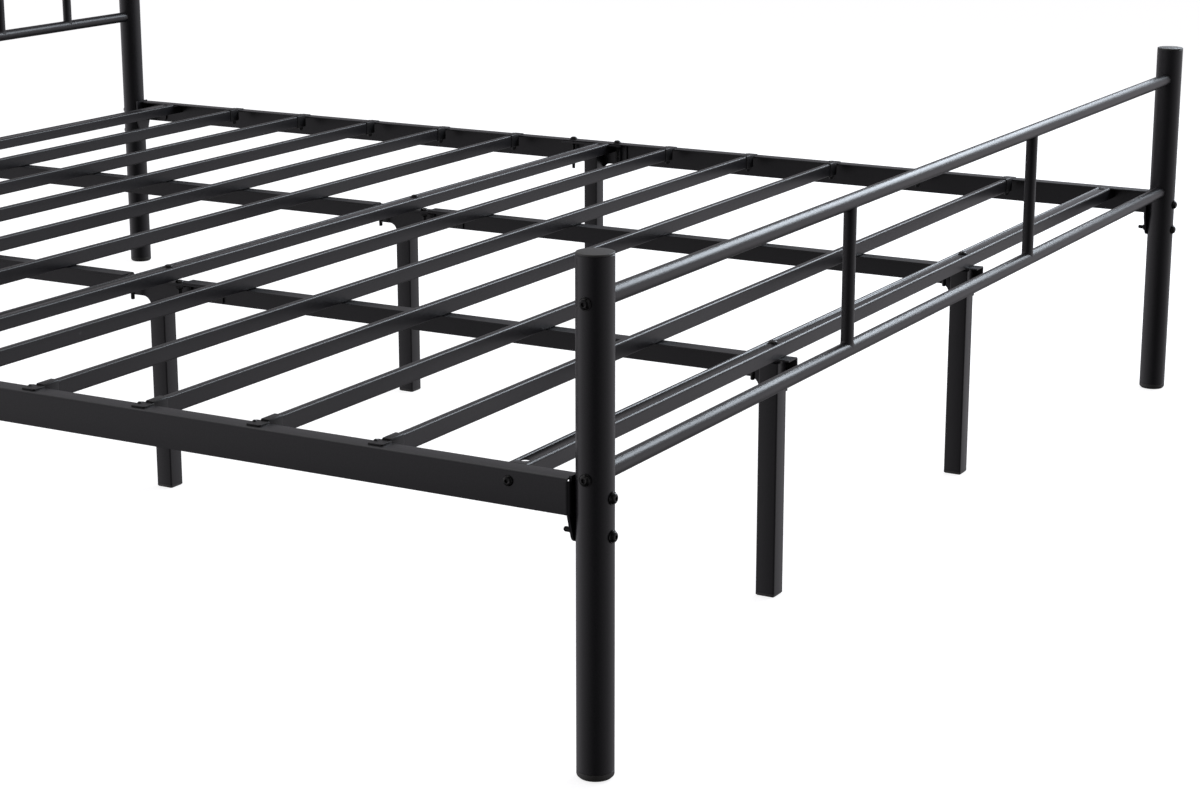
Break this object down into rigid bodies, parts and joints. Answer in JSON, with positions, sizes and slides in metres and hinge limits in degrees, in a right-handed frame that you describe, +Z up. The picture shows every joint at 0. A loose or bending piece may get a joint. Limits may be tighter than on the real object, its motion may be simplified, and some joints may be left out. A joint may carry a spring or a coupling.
{
  "type": "bed frame",
  "caption": "Black metal bed frame with round posts, low footboard, barred headboard, angle rails, slatted deck and square support legs.",
  "frame": {"origin": "on the floor below the middle of the bed", "axes": "+Y from foot to head, +X to the right as seen from the foot, +Z up"},
  "size_m": [1.909, 2.149, 1],
  "materials": {
    "frame_coat": "satin black powder coat",
    "black_plastic": "matt moulded black plastic",
    "black_bolts": "black coated steel fasteners"
  },
  "bodies": {
    "root": {"foot_post_left": "frame_coat", "foot_post_right": "frame_coat", "foot_lower_tube": "frame_coat", "foot_upper_tube": "frame_coat", "head_post_left": "frame_coat", "head_post_right": "frame_coat", "head_lower_tube": "frame_coat", "head_upper_tube": "frame_coat", "post_caps": "black_plastic", "post_glides": "black_plastic", "foot_spindle_left": "frame_coat", "foot_spindle_right": "frame_coat", "head_spindle_1": "frame_coat", "head_spindle_2": "frame_coat", "head_spindle_3": "frame_coat", "head_spindle_4": "frame_coat", "head_spindle_5": "frame_coat", "head_spindle_6": "frame_coat", "head_spindle_7": "frame_coat", "head_spindle_8": "frame_coat", "head_spindle_9": "frame_coat", "side_rail_left_foot": "frame_coat", "rail_bracket_left_foot": "frame_coat", "centre_rail_left_foot": "frame_coat", "side_rail_left_head": "frame_coat", "rail_bracket_left_head": "frame_coat", "centre_rail_left_head": "frame_coat", "side_rail_right_foot": "frame_coat", "rail_bracket_right_foot": "frame_coat", "centre_rail_right_foot": "frame_coat", "side_rail_right_head": "frame_coat", "rail_bracket_right_head": "frame_coat", "centre_rail_right_head": "frame_coat", "cross_bar_foot": "frame_coat", "cross_bar_mid": "frame_coat", "cross_bar_head": "frame_coat", "splice_angles": "frame_coat", "slat_01": "frame_coat", "slat_02": "frame_coat", "slat_03": "frame_coat", "slat_04": "frame_coat", "slat_05": "frame_coat", "slat_06": "frame_coat", "slat_07": "frame_coat", "slat_08": "frame_coat", "slat_09": "frame_coat", "slat_10": "frame_coat", "slat_clips": "black_plastic", "side_leg_left": "frame_coat", "centre_leg_left_mid": "frame_coat", "centre_leg_left_foot": "frame_coat", "centre_leg_left_head": "frame_coat", "side_leg_right": "frame_coat", "centre_leg_right_mid": "frame_coat", "centre_leg_right_foot": "frame_coat", "centre_leg_right_head": "frame_coat", "leg_feet": "black_plastic", "tube_bolts": "black_bolts", "frame_bolts": "black_bolts", "lock_nuts": "black_bolts"}
  },
  "joints": []
}
